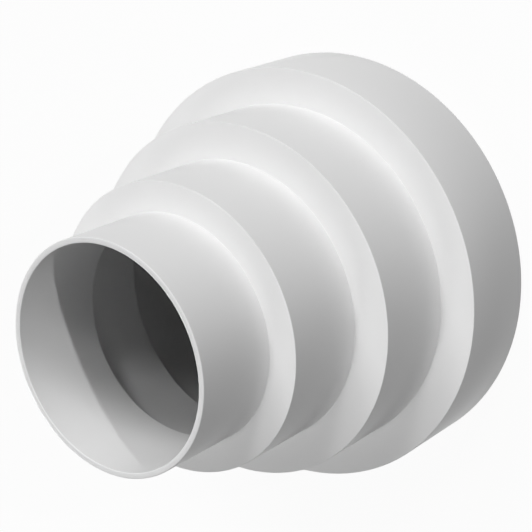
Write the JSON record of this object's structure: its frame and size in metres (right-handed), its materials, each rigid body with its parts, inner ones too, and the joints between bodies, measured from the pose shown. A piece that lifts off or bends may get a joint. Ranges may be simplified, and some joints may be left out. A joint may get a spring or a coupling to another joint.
{
  "type": "duct adapter",
  "caption": "Stepped round duct adapter in glossy white plastic: coaxial spigots joined by flat ring shoulders, open right through, to join ducts of different sizes.",
  "frame": {"origin": "centre of the wide end's lip, on the surface that the adapter stands on", "axes": "+Z along the common axis, from the wide end towards the narrow end; X and Y are free to turn"},
  "size_m": [0.1502, 0.1502, 0.13],
  "materials": {
    "white_plastic": "smooth glossy moulded plastic, bright neutral white"
  },
  "bodies": {
    "root": {"adapter": "white_plastic"}
  },
  "joints": []
}
